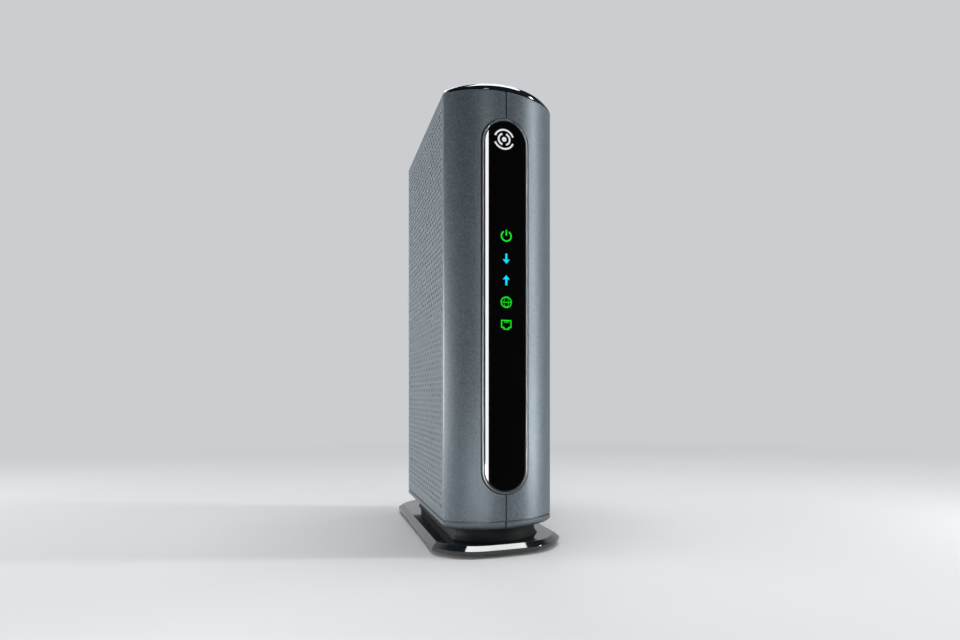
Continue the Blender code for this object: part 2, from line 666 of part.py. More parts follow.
# push button: cap outside the panel, stem toward its switch; slides along -Y
finish(
    "power_button",
    revolve_y(
        [(0.0, 113.1), (1.6, 113.1), (1.6, 117.6), (5.0, 117.6), (5.0, 118.8), (4.0, 118.8), (4.0, 125.6), (3.6, 126.1), (0.0, 126.1)],
        CONN_X,
        POWER_Z,
        28,
    ),
    "black",
    pivot=(CONN_X, 126.1 + Y_SHIFT, POWER_Z),
)
finish("power_switch", box(CONN_X - 4.5, FACE, 100, 113.1 - POWER_TRAVEL - 0.2, POWER_Z - 4.5, POWER_Z + 4.5), "chip", smooth=False)
finish(
    "reset_button",
    revolve_y([(0.0, 115.8), (0.9, 115.8), (0.9, 118.0), (1.7, 118.0), (1.7, 120.6), (0.0, 120.6)], CONN_X, RESET_Z, 20),
    "red",
    pivot=(CONN_X, 120.6 + Y_SHIFT, RESET_Z),
)
finish("reset_switch", box(CONN_X - 3.0, FACE, 108, 115.8 - RESET_TRAVEL - 0.2, RESET_Z - 3.0, RESET_Z + 3.0), "chip", smooth=False)


# ---------------------------------------------------------------- stand
def base_plan(inset=0.0, n=14):
    """Stand outline: bowed front and rear meeting straight sides at crisp corners."""

    def bow(t, corner, apex):
        return apex + (corner - apex) * abs(t) ** 3.6

    pts = []
    w = BASE_HALF_W
    for i in range(n + 1):
        t = -1 + 2 * i / n
        pts.append((w * t, bow(t, BASE_FRONT_CORNER_Y, BASE_FRONT_Y)))
    for i in range(n + 1):
        t = 1 - 2 * i / n
        pts.append((w * t, bow(t, BASE_REAR_CORNER_Y, BASE_REAR_Y)))
    mid = (BASE_FRONT_Y + BASE_REAR_Y) / 2
    hy = (BASE_REAR_Y - BASE_FRONT_Y) / 2
    sx, sy = 1 - inset / w, 1 - inset / hy
    return [(x * sx, mid + (y - mid) * sy) for x, y in pts]


base = loft([[(x, y, z) for x, y in base_plan(i)] for i, z in ((0.0, BASE_Z0), (0.0, BASE_EDGE_Z), (BASE_CHAMFER, BASE_TOP_Z))])
base_steps = []
for sx in (-1, 1):
    for fy in FOOT_Y:
        base_steps.append((CUT, prism(circle(sx * FOOT_X, fy, FOOT_R + 0.25, 24), BASE_Z0 - 1, BASE_Z0 + 0.8)))
    for sy in SCREW_Y:
        base_steps.append((CUT, prism(circle(sx * SCREW_X, sy, 3.2, 20), BASE_Z0 - 1, BASE_Z0 + 1.9)))
        base_steps.append((CUT, prism(circle(sx * SCREW_X, sy, 1.8, 16), BASE_Z0 - 1, BASE_TOP_Z + 1)))
finish("stand_plate", combine(base, base_steps), "gloss")

neck = loft(
    [
        [(x, y, BASE_TOP_Z + GAP) for x, y in body_plan(NECK_INSET - 1.0)],
        [(x, y, BASE_TOP_Z + 1.6) for x, y in body_plan(NECK_INSET)],
        [(x, y, BODY_Z0 - GAP) for x, y in body_plan(NECK_INSET)],
    ]
)
neck_steps = [(CUT, prism(circle(sx * SCREW_X, sy, 1.8, 16), 0, 16)) for sx in (-1, 1) for sy in SCREW_Y]
finish("stand_neck", combine(neck, neck_steps), "black")

for sx, side in ((-1, "left"), (1, "right")):
    for fy, end in zip(FOOT_Y, ("front", "rear")):
        finish(
            f"foot_{end}_{side}",
            loft([[(x, y, z) for x, y in circle(sx * FOOT_X, fy, r, 24)] for r, z in ((FOOT_R - 0.5, 0.0), (FOOT_R, 0.5), (FOOT_R, BASE_Z0 + 0.65))]),
            "rubber",
        )
    for sy, end in zip(SCREW_Y, ("front", "rear")):
        finish(
            f"stand_screw_{end}_{side}",
            cross_screw("z", (sx * SCREW_X, sy), 2.9, 1.45, BASE_Z0 + 0.3, BASE_Z0 + 1.7, 13.6),
            "steel",
        )
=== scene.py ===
import math

import bmesh
import bpy
from mathutils import Matrix, Vector


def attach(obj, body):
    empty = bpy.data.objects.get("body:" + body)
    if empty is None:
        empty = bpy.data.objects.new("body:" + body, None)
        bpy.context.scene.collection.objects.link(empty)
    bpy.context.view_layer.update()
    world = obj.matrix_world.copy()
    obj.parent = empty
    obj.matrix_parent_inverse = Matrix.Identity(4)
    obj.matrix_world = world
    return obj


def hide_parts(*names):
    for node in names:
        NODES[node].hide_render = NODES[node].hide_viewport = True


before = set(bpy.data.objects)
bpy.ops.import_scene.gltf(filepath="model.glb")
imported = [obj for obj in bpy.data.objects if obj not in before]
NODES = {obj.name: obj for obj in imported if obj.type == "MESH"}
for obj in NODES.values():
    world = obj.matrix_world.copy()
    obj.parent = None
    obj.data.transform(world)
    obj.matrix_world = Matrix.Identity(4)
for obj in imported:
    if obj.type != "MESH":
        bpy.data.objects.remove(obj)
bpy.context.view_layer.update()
COLL = bpy.context.scene.collection

MM = 0.001
YS = -71.6            # y of the front centre line, mm
HALF_W, FRONT_R, CORNER_R, REAR_R, DEPTH = 24.0, 28.5, 2.5, 1.5, 123.5
Z0, Z1 = 11.0, 196.2
SEAM = 0.2
SLOT_R, SLOT_Z0, SLOT_Z1 = 10.1, 25.7, 184.8
WIN_Y0, WIN_Y1, WIN_Z0, WIN_Z1 = 15.6, 121.2, 18.0, 192.2
PAN_X, PAN_Z0, PAN_Z1 = 17.2, 19.8, 144.2
CX = -4.0             # rear connector line
COAX_Z, RJ_Z, DC_Z, POWER_Z, RESET_Z = 78.0, 108.0, 50.0, 31.0, 132.0
ICON_Z = (135.1, 125.5, 116.4, 107.1, 97.6)


# ------------------------------------------------------------------ node helpers
class Graph:
    """Small wrapper that builds one procedural material."""

    def __init__(self, name):
        self.mat = bpy.data.materials.new(name)
        self.mat.use_nodes = True
        self.tree = self.mat.node_tree
        self.tree.nodes.clear()
        self.out = self.tree.nodes.new("ShaderNodeOutputMaterial")
        self.bsdf = self.tree.nodes.new("ShaderNodeBsdfPrincipled")
        self.tree.links.new(self.bsdf.outputs[0], self.out.inputs[0])
        self.coord = self.tree.nodes.new("ShaderNodeTexCoord")

    def add(self, kind, **values):
        node = self.tree.nodes.new(kind)
        for key, value in values.items():
            setattr(node, key, value)
        return node

    def link(self, a, b):
        self.tree.links.new(a, b)

    def noise(self, scale, detail=2.0, rough=0.5, stretch=None, distort=0.0):
        node = self.add("ShaderNodeTexNoise")
        node.inputs["Scale"].default_value = scale
        node.inputs["Detail"].default_value = detail
        node.inputs["Roughness"].default_value = rough
        node.inputs["Distortion"].default_value = distort
        source = self.coord.outputs["Object"]
        if stretch:
            mapping = self.add("ShaderNodeMapping")
            mapping.inputs["Scale"].default_value = stretch
            self.link(source, mapping.inputs["Vector"])
            source = mapping.outputs["Vector"]
        self.link(source, node.inputs["Vector"])
        return node.outputs["Fac"]

    def cells(self, scale):
        node = self.add("ShaderNodeTexVoronoi")
        node.inputs["Scale"].default_value = scale
        self.link(self.coord.outputs["Object"], node.inputs["Vector"])
        return node

    def span(self, source, lo, hi, a=0.0, b=1.0):
        node = self.add("ShaderNodeMapRange")
        for key, value in zip(("From Min", "From Max", "To Min", "To Max"), (a, b, lo, hi)):
            node.inputs[key].default_value = value
        self.link(source, node.inputs["Value"])
        return node.outputs["Result"]

    def mix(self, fac, one, two):
        node = self.add("ShaderNodeMix", data_type="RGBA")
        if isinstance(fac, float):
            node.inputs[0].default_value = fac
        else:
            self.link(fac, node.inputs[0])
        for socket, value in ((node.inputs[6], one), (node.inputs[7], two)):
            if isinstance(value, tuple):
                socket.default_value = (*value, 1.0)
            else:
                self.link(value, socket)
        return node.outputs[2]

    def math(self, op, a, b=None):
        node = self.add("ShaderNodeMath", operation=op)
        for i, value in enumerate((a, b)):
            if value is None:
                continue
            if isinstance(value, (int, float)):
                node.inputs[i].default_value = value
            else:
                self.link(value, node.inputs[i])
        return node.outputs[0]

    def bump(self, height, strength, distance, normal=None):
        node = self.add("ShaderNodeBump")
        node.inputs["Strength"].default_value = strength
        node.inputs["Distance"].default_value = distance
        self.link(height, node.inputs["Height"])
        if normal:
            self.link(normal, node.inputs["Normal"])
        return node.outputs["Normal"]

    def set(self, **values):
        for key, value in values.items():
            self.bsdf.inputs[key.replace("_", " ")].default_value = value


def tint(color, k):
    return tuple(min(1.0, c * k) for c in color)


def surface(name, color, rough, metallic=0.0, grain=2500.0, grain_depth=0.00002, grain_strength=0.3,
            vary=0.12, rough_vary=0.08, scuff=0.06, spec=0.5, coat=0.0, coat_rough=0.1, stretch=None):
    """Plastic, metal or rubber with tone variation, grain bump, soft scuffs and uneven gloss."""
    g = Graph(name)
    broad = g.noise(22.0, 3.0)
    fine = g.noise(grain, 2.0, stretch=stretch)
    base = g.mix(g.span(broad, 0.0, 1.0, 0.3, 0.7), tint(color, 1 - vary), tint(color, 1 + vary))
    speck = g.mix(g.span(fine, 0.0, 0.5, 0.35, 0.75), base, tint(color, 1 + 1.5 * vary))
    scuffs = g.noise(140.0, 6.0, 0.7, stretch=(1.0, 1.0, 3.0), distort=1.5)
    mask = g.span(scuffs, 0.0, 1.0, 0.62, 0.78)
    worn = g.mix(g.math("MULTIPLY", mask, scuff), speck, tint(color, 1.9))
    g.link(worn, g.bsdf.inputs["Base Color"])
    uneven = g.math("ADD", g.span(broad, rough - rough_vary / 2, rough + rough_vary / 2, 0.3, 0.7), g.math("MULTIPLY", mask, rough_vary))
    g.link(uneven, g.bsdf.inputs["Roughness"])
    g.link(g.bump(fine, grain_strength, grain_depth), g.bsdf.inputs["Normal"])
    g.set(Metallic=metallic, Specular_IOR_Level=spec, Coat_Weight=coat, Coat_Roughness=coat_rough)
    return g.mat


def paint(name, color, painted_light_gain=1.0):
    """Fine metallic paint: mica flakes that differ in tone and tilt under a soft satin clear. The third argument scales
    every tone lighter, which makes a lit copy of the same paint: painted light.
    """
    g = Graph(name)
    flakes = g.cells(1500.0)
    grain = g.noise(1900.0, 3.0, 0.65)
    broad = g.noise(16.0, 2.0)
    base = g.mix(g.span(broad, 0.0, 1.0, 0.3, 0.7), tint(color, 0.94 * painted_light_gain), tint(color, 1.06 * painted_light_gain))
    bw = g.add("ShaderNodeRGBToBW")
    g.link(flakes.outputs["Color"], bw.inputs[0])
    flake = bw.outputs[0]
    tone = g.mix(g.span(flake, 0.0, 0.7, 0.2, 0.9), base, tint(color, 1.7 * painted_light_gain))
    tone = g.mix(g.span(grain, 0.0, 0.65, 0.4, 0.75), tone, tint(color, 0.6 * painted_light_gain))
    wear = g.span(g.noise(90.0, 7.0, 0.75, distort=2.0), 0.0, 0.10, 0.60, 0.80)
    tone = g.mix(wear, tone, tint(color, 1.9 * painted_light_gain))
    g.link(tone, g.bsdf.inputs["Base Color"])
    g.link(g.span(flake, 0.36, 0.50, 0.1, 0.9), g.bsdf.inputs["Roughness"])
    n = g.bump(grain, 0.35, 0.00006)
    n = g.bump(flake, 0.12, 0.00003, n)
    g.link(n, g.bsdf.inputs["Normal"])
    g.set(Metallic=0.38, Specular_IOR_Level=0.4, Coat_Weight=0.0, Coat_Roughness=0.3)
    return g.mat


def glossy(name, color, spec=0.5, rough=0.06, smudge=0.05, coat=0.0, haze=0.0):
    """Polished dark plastic: faint orange peel, finger haze and hairline dust."""
    g = Graph(name)
    peel = g.noise(160.0, 1.0)
    haze_n = g.noise(38.0, 4.0, 0.6, distort=1.0)
    dust = g.noise(3200.0, 2.0)
    speck = g.math("MULTIPLY", g.span(dust, 0.0, 1.0, 0.76, 0.86), 0.05 + haze)
    base = g.mix(g.span(haze_n, 0.0, 1.0, 0.3, 0.7), tint(color, 0.8), tint(color, 1.2))
    g.link(g.mix(speck, base, (0.3, 0.3, 0.31)), g.bsdf.inputs["Base Color"])
    g.link(g.span(haze_n, rough, rough + smudge, 0.35, 0.75), g.bsdf.inputs["Roughness"])
    g.link(g.bump(peel, 0.02, 0.0001), g.bsdf.inputs["Normal"])
    g.set(Metallic=0.0, Specular_IOR_Level=spec, Coat_Weight=coat, Coat_Roughness=0.03)
    return g.mat


def glow(name, color, strength):
    """Lit printed symbol: slightly uneven light through the film. On the white printed mark the glow is painted light,
    as no lamp lights it.
    """
    g = Graph(name)
    n = g.noise(900.0, 2.0)
    shade = g.mix(g.span(n, 0.0, 1.0, 0.3, 0.7), tint(color, 0.9), color)
    g.link(shade, g.bsdf.inputs["Emission Color"])
    g.link(g.mix(g.span(n, 0.0, 1.0, 0.3, 0.7), tint(color, 0.02), tint(color, 0.04)), g.bsdf.inputs["Base Color"])
    g.link(g.span(n, 0.5, 0.6), g.bsdf.inputs["Roughness"])
    g.link(g.bump(n, 0.05, 0.00002), g.bsdf.inputs["Normal"])
    g.set(Emission_Strength=strength, Specular_IOR_Level=0.1)
    return g.mat


GREY = (0.062, 0.078, 0.090)
M = {
    "paint": paint("paint_grey_blue", GREY),
    # the grille is the shell's paint made 1.25 times lighter: painted light for the brighter light on the side
    "vent": paint("paint_grille_painted_lighter", GREY, 1.25),
    "gloss": glossy("gloss_black", (0.004, 0.0065, 0.0085), spec=0.9, rough=0.05),
    "lens": glossy("lens_black", (0.0006, 0.0006, 0.0008), spec=1.0, rough=0.02, smudge=0.015),
    "trim": surface("trim_silver", (0.20, 0.21, 0.22), 0.3, 0.9, grain=1800, vary=0.06, grain_strength=0.1),
    "clear": surface("guide_clear", (0.55, 0.6, 0.6), 0.2, 0.0, vary=0.05, grain_strength=0.1),
    "board": surface("board_green", (0.012, 0.11, 0.045), 0.4, 0.0, grain=900, vary=0.3, coat=0.3),
    "chip": surface("chip_black", (0.022, 0.022, 0.025), 0.55, grain=3200, vary=0.15),
    "pad": surface("pad_grey", (0.35, 0.4, 0.5), 0.8, grain=1500, vary=0.1),
    "alu": surface("aluminium", (0.6, 0.61, 0.63), 0.35, 1.0, grain=900, stretch=(1, 1, 0.05), vary=0.07),
    "steel": surface("steel", (0.42, 0.42, 0.44), 0.3, 1.0, grain=2200, vary=0.1, rough_vary=0.15),
    "tin": surface("tinned", (0.55, 0.55, 0.55), 0.38, 1.0, grain=600, vary=0.1, rough_vary=0.15),
    "nickel": surface("nickel", (0.60, 0.58, 0.54), 0.22, 1.0, grain=2400, vary=0.06, rough_vary=0.12),
    "gold": surface("gold", (0.78, 0.56, 0.2), 0.25, 1.0, grain=2400, vary=0.06),
    "black": surface("matte_black", (0.016, 0.017, 0.019), 0.5, grain=2600, grain_strength=0.5, vary=0.15),
    # hole walls: near-black, darker than black plastic, partly painted shade inside the holes
    "bore": surface("bore_painted_shade", (0.003, 0.0035, 0.004), 0.8, grain=2600, vary=0.2, spec=0.05),
    # the neck's colour is near-black, darker than black plastic: partly its own black plastic, partly painted shade
    # where the body overhangs it
    "neck": surface("neck_black_painted_shade", (0.004, 0.0045, 0.005), 0.6, grain=2600, grain_strength=0.3, vary=0.15, spec=0.08),
    "panel": surface("panel_grey", (0.035, 0.039, 0.043), 0.52, grain=2200, grain_strength=0.6, vary=0.12),
    "ivory": surface("ivory", (0.75, 0.72, 0.63), 0.45, vary=0.05),
    "rubber": surface("rubber", (0.022, 0.022, 0.023), 0.85, grain=1500, grain_strength=0.6, vary=0.2, spec=0.3),
    "red": surface("red", (0.42, 0.03, 0.025), 0.45, vary=0.1),
    "amber": surface("amber", (0.55, 0.25, 0.03), 0.3, vary=0.1),
    "copper": surface("copper", (0.55, 0.25, 0.12), 0.35, 1.0, grain=900, stretch=(8, 1, 1), vary=0.2),
    "print": surface("print_pale", (0.5, 0.52, 0.53), 0.5, vary=0.08, grain_strength=0.15),
    # the white finish goes on the printed mark, which glows with no lamp behind it: painted light
    "white": glow("mark_white_painted_glow", (0.95, 0.97, 1.0), 0.75),
    "green": glow("symbol_green", (0.0, 0.83, 0.01), 1.0),
    "cyan": glow("symbol_cyan", (0.0, 0.72, 0.98), 1.0),
}


# ------------------------------------------------------------------ mesh helpers
def place(p):
    return (p[0] * MM, (p[1] + YS) * MM, p[2] * MM)


def piece(name, verts, faces, mat, nodes=(), body="modem", angle=35.0, smooth=True, bevel=0.0, segments=2):
    """Object from millimetre vertices; normals made to face out, and it rides a body and stands for nodes."""
    mesh = bpy.data.meshes.new(name)
    mesh.from_pydata([place(v) for v in verts], [], faces)
    bm = bmesh.new()
    bm.from_mesh(mesh)
    bmesh.ops.remove_doubles(bm, verts=bm.verts, dist=1e-7)
    bmesh.ops.recalc_face_normals(bm, faces=bm.faces)
    if bm.calc_volume(signed=True) < 0:
        bmesh.ops.reverse_faces(bm, faces=bm.faces)
    bm.to_mesh(mesh)
    bm.free()
    obj = bpy.data.objects.new(name, mesh)
    COLL.objects.link(obj)
    mesh.materials.append(M[mat])
    if smooth:
        mesh.shade_smooth()
        mesh.set_sharp_from_angle(angle=math.radians(angle))
    if bevel:
        mod = obj.modifiers.new("edge", "BEVEL")
        mod.width = bevel * MM
        mod.segments = segments
        mod.limit_method = "ANGLE"
        mod.angle_limit = math.radians(40)
        mod.harden_normals = True
    if nodes:
        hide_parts(*nodes)
    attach(obj, body)
    return obj


class Build:
    """Collects vertices and faces of one mesh."""

    def __init__(self):
        self.v, self.f = [], []

    def add(self, *points):
        start = len(self.v)
        self.v += points
        return list(range(start, start + len(points)))

    def face(self, *ids):
        self.f.append(tuple(ids))

    def skin(self, a, b, closed=True):
        n = len(a)
        for i in range(n if closed else n - 1):
            j = (i + 1) % n
            self.face(a[i], a[j], b[j], b[i])

    def loft(self, rings, cap=True):
        ids = [self.add(*r) for r in rings]
        for a, b in zip(ids, ids[1:]):
            self.skin(a, b)
        if cap:
            self.face(*ids[0])
            self.face(*reversed(ids[-1]))
        return ids

    def torus(self, loops):
        """Closed ring of closed sections."""
        ids = [self.add(*r) for r in loops]
        for i in range(len(ids)):
            self.skin(ids[i], ids[(i + 1) % len(ids)])


def front_y(x):
    return FRONT_R - math.sqrt(FRONT_R * FRONT_R - x * x)


def stations():
    """Right-half path of the housing from front seam to rear seam: (outer xy, outward normal, wall xy, kind)."""
    path = []

    def arc_point(x, kind, inner=None):
        s = x / FRONT_R
        n = (s, -math.sqrt(1 - s * s))
        p = (x, front_y(x))
        q = inner or (p[0] - 2.0 * n[0], p[1] - 2.0 * n[1])
        path.append((p, n, q, kind))

    def pill_row(x, sink=0.0):
        t = math.asin(x / SLOT_R)
        arc_point((SLOT_R + 0.3) * math.sin(t), ("pill", t), (x, front_y(x) + 2.1))
        if sink:
            p, n, q, kind = path[-1]
            path[-1] = ((p[0], p[1] + sink), n, q, kind)

    pill_row(SEAM, 0.22)
    t0 = math.asin((SEAM + 0.16) / SLOT_R)
    for i in range(29):
        t = t0 + (math.pi / 2 - t0) * i / 28
        xo, xi = (SLOT_R + 0.3) * math.sin(t), SLOT_R * math.sin(t)
        arc_point(xo, ("pill", t), (xi, front_y(xi) + 2.1))
    cx = HALF_W - CORNER_R
    cy = FRONT_R - math.sqrt((FRONT_R - CORNER_R) ** 2 - cx * cx)
    end = math.asin(cx / (FRONT_R - CORNER_R))
    first = math.asin((SLOT_R + 0.3) / FRONT_R)
    for i in range(1, 19):
        t = first + (end - first) * i / 18
        arc_point(FRONT_R * math.sin(t), ("wall",))
    for i in range(1, 9):
        t = end + (math.pi / 2 - end) * i / 8
        n = (math.sin(t), -math.cos(t))
        p = (cx + CORNER_R * n[0], cy + CORNER_R * n[1])
        path.append((p, n, (p[0] - 2 * n[0], p[1] - 2 * n[1]), ("wall",)))
    for y, kind in ((WIN_Y0, "win"), (WIN_Y1, "win")):
        path.append(((HALF_W, y), (1.0, 0.0), (HALF_W - 2.0, y), (kind,)))
    for i in range(7):
        t = math.pi / 2 * i / 6
        n = (math.cos(t), math.sin(t))
        p = (HALF_W - REAR_R + REAR_R * n[0], DEPTH - REAR_R + REAR_R * n[1])
        path.append((p, n, (p[0] - 1.2 * n[0], p[1] - 1.2 * n[1]), ("wall",)))
    path.append(((PAN_X, DEPTH), (0.0, 1.0), (PAN_X, DEPTH - 2.0), ("rear",)))
    path.append(((SEAM + 0.2, DEPTH), (0.0, 1.0), (SEAM + 0.2, DEPTH - 2.0), ("rear",)))
    path.append(((SEAM, DEPTH - 0.2), (0.0, 1.0), (SEAM, DEPTH - 2.0), ("rear",)))
    return path


def housing(side, name, nodes):
    b = Build()
    path = stations()
    mid = DEPTH / 2
    # outer profile from the bottom up: (inset, z)
    low_profile = [(1.5, Z0), (1.2, Z0 + 0.15), (0.15, Z0 + 1.05), (0.0, Z0 + 1.35), (0.0, 13.85), (0.15, 14.0), (0.75, 14.02), (0.75, 14.48), (0.15, 14.5), (0.0, 14.65), (0.0, 15.0)]
    top_profile = [(0.0, Z1 - 0.7), (0.0, Z1 - 0.3), (0.09, Z1 - 0.09), (0.3, Z1)]
    spine = [(23.5, Z1), (23.5, Z1 - 2.0)]
    foot = [(23.5, Z0 + 2.0), (23.5, Z0)]

    def at(st, inset, z):
        (px, py), (nx, ny), q, kind = st
        if inset > 3.0:
            x, y = px * (1 - inset / HALF_W), mid + (py - mid) * (1 - inset / mid)
        else:
            x, y = px - inset * nx, py - inset * ny
        return (side * max(x, 0.004), y, z)

    rows = []
    for index, st in enumerate(path):
        kind = st[3]
        bottom = b.add(*[at(st, i, z) for i, z in low_profile])
        top = b.add(*[at(st, i, z) for i, z in top_profile])
        up = b.add(*[at(st, i, z) for i, z in spine])
        q = st[2]
        wall_top, wall_low = b.add((side * q[0], q[1], Z1 - 2.0), (side * q[0], q[1], Z0 + 2.0))
        down = b.add(*[at(st, i, z) for i, z in foot])
        split = None
        if kind[0] == "pill":
            t = kind[1]
            ro, ri = (SLOT_R + 0.3), SLOT_R
            zl, zh = SLOT_Z0 + SLOT_R, SLOT_Z1 - SLOT_R
            lo_o, hi_o = zl - ro * math.cos(t), zh + ro * math.cos(t)
            lo_i, hi_i = zl - ri * math.cos(t), zh + ri * math.cos(t)
            p = st[0]
            m = (q[0], front_y(q[0]) + 0.3)
            split = (
                b.add((side * p[0], p[1], lo_o), (side * m[0], m[1], lo_i), (side * q[0], q[1], lo_i)),
                b.add((side * p[0], p[1], hi_o), (side * m[0], m[1], hi_i), (side * q[0], q[1], hi_i)),
            )
        elif kind[0] in ("win", "rear"):
            z_low, z_high = (WIN_Z0, WIN_Z1) if kind[0] == "win" else (PAN_Z0, PAN_Z1)
            p = st[0]
            split = tuple(
                b.add((side * p[0], p[1], z), (side * (p[0] * 0.5 + q[0] * 0.5), p[1] * 0.5 + q[1] * 0.5, z), (side * q[0], q[1], z))
                for z in (z_low, z_high)
            )
        rows.append(dict(bottom=bottom, top=top, up=up, wt=wall_top, wl=wall_low, down=down, split=split, kind=kind[0]))

    for a, c in zip(rows, rows[1:]):
        both = a["kind"] == c["kind"] and a["kind"] in ("pill", "win", "rear")
        for key in ("bottom", "top"):
            b.skin(a[key], c[key], closed=False)
        b.face(a["top"][-1], c["top"][-1], c["up"][0], a["up"][0])
        b.face(a["up"][0], c["up"][0], c["up"][1], a["up"][1])
        b.face(a["up"][1], c["up"][1], c["wt"], a["wt"])
        b.face(a["wl"], c["wl"], c["down"][0], a["down"][0])
        b.face(a["down"][0], c["down"][0], c["down"][1], a["down"][1])
        b.face(a["down"][1], c["down"][1], c["bottom"][0], a["bottom"][0])
        if both:
            (al, ah), (cl, ch) = a["split"], c["split"]
            b.face(a["bottom"][-1], c["bottom"][-1], cl[0], al[0])
            b.face(ah[0], ch[0], c["top"][0], a["top"][0])
            b.face(a["wl"], c["wl"], cl[2], al[2])
            b.face(ah[2], ch[2], c["wt"], a["wt"])
            for k in (0, 1):
                b.face(al[k], cl[k], cl[k + 1], al[k + 1])
                b.face(ah[k], ch[k], ch[k + 1], ah[k + 1])
        else:
            outer = [a["bottom"][-1], c["bottom"][-1]]
            inner = [a["wl"], c["wl"]]
            if c["split"]:
                outer += [c["split"][0][0], c["split"][1][0]]
                inner += [c["split"][0][2], c["split"][1][2]]
            outer += [c["top"][0], a["top"][0]]
            inner += [c["wt"], a["wt"]]
            if a["split"]:
                outer += [a["split"][1][0], a["split"][0][0]]
                inner += [a["split"][1][2], a["split"][0][2]]
            b.face(*outer)
            b.face(*inner)
            for row in (a, c):
                # closing the side of an opening where it ends
                if row["split"] and not row.get("closed"):
                    low, high = row["split"]
                    for k in (0, 1):
                        b.face(low[k], low[k + 1], high[k + 1], high[k])
                    row["closed"] = True
    for row in (rows[0], rows[-1]):
        low, high = row["split"]
        b.face(*(row["bottom"] + low + [row["wl"]] + row["down"]))
        b.face(*(list(reversed(high)) + row["top"] + row["up"] + [row["wt"]]))
    return piece(name, b.v, b.f, "paint", nodes, angle=30)


housing(-1, "half_shell_left", ["shell_left"])
housing(1, "half_shell_right", ["shell_right"])


# ------------------------------------------------------------------ perforated side panels
def perforated(side, name, node, sides=12):
    """Flat panel with staggered round holes, one to a diamond cell; each hole has a small countersink, and its wall is
    near-black, partly its own plastic and partly painted shade.
    """
    b = Build()
    y0, y1, z0, z1 = WIN_Y0 + 0.03, WIN_Y1 - 0.03, WIN_Z0 + 0.03, WIN_Z1 - 0.03
    rows, cols = 69, 21
    my, mz = 0.12, 0.5
    dy, dz = (y1 - y0 - 2 * my) / cols, (z1 - z0 - 2 * mz) / rows
    r_out, r_in = 1.17, 1.0
    xo, xi, xb = side * HALF_W, side * (HALF_W - 0.09), side * (HALF_W - 2.0)
    cache = {}
    dark = set()

    def v(x, y, z):
        key = (round(x, 3), round(y, 4), round(z, 4))
        if key not in cache:
            cache[key] = b.add((x, y, z))[0]
        return cache[key]

    ys = [y0 + my + dy * i / 2 for i in range(2 * cols + 1)]
    mid = [z0 + mz + dz * (j + 0.5) for j in range(rows)]
    for x in (xo, xb):
        for y, ye in ((ys[0], y0), (ys[-1], y1)):
            b.face(v(x, ye, z0), v(x, y, z0), *[v(x, y, mid[j]) for j in range(0, rows, 2)], v(x, y, z1), v(x, ye, z1))
        for j in range(1, rows, 2):
            b.face(v(x, ys[0], mid[j - 1]), v(x, ys[1], mid[j]), v(x, ys[0], mid[j + 1]))
            b.face(v(x, ys[-1], mid[j - 1]), v(x, ys[-2], mid[j]), v(x, ys[-1], mid[j + 1]))
    edge = [(z, [y0] + ys[::2] + [y1]) for z in (z0, z1)]
    for z, line in edge:
        b.face(*[v(xo, y, z) for y in line], *[v(xb, y, z) for y in reversed(line)])
    for y in (y0, y1):
        b.face(v(xo, y, z0), v(xo, y, z1), v(xb, y, z1), v(xb, y, z0))
    turn = [2 * math.pi * i / sides for i in range(sides)]
    quarter = sides // 4
    for j in range(rows):
        for k in range(1 + j % 2, 2 * cols, 2):
            if k + 1 > 2 * cols:
                continue
            c, m = ys[k], mid[j]
            rings = [b.add(*[(x, c + rr * math.cos(t), m + rr * math.sin(t)) for t in turn]) for x, rr in ((xo, r_out), (xi, r_in), (xb, r_in))]
            b.skin(rings[0], rings[1])
            first = len(b.f)
            b.skin(rings[1], rings[2])
            dark.update(range(first, len(b.f)))
            for x, ring in ((xo, rings[0]), (xb, rings[2])):
                right, left = v(x, ys[k + 1], m), v(x, ys[k - 1], m)
                ends = [right, None, left, None]
                if j + 1 < rows:
                    ends[1] = v(x, c, mid[j + 1])
                if j > 0:
                    ends[3] = v(x, c, mid[j - 1])
                for q in (1, 3):
                    half = [ring[(i + (q - 1) * quarter) % sides] for i in range(2 * quarter + 1)]
                    start, stop = (right, left) if q == 1 else (left, right)
                    if ends[q] is None:
                        z = z1 if q == 1 else z0
                        ya, yb = (ys[k + 1], ys[k - 1]) if q == 1 else (ys[k - 1], ys[k + 1])
                        b.face(start, v(x, ya, z), v(x, yb, z), stop, *reversed(half))
                    else:
                        b.face(start, ends[q], *reversed(half[: quarter + 1]))
                        b.face(ends[q], stop, *reversed(half[quarter:]))
    # the panel face takes the lighter grille paint, which is painted light
    obj = piece(name, b.v, b.f, "vent", [node], angle=40, smooth=False)
    # the hole walls take the near-black bore finish: partly the panel's own unpainted plastic, partly painted shade for
    # the dark inside the holes
    obj.data.materials.append(M["bore"])
    for i in dark:
        obj.data.polygons[i].material_index = 1
    return obj


perforated(-1, "grille_left", "side_panel_left")
perforated(1, "grille_right", "side_panel_right")


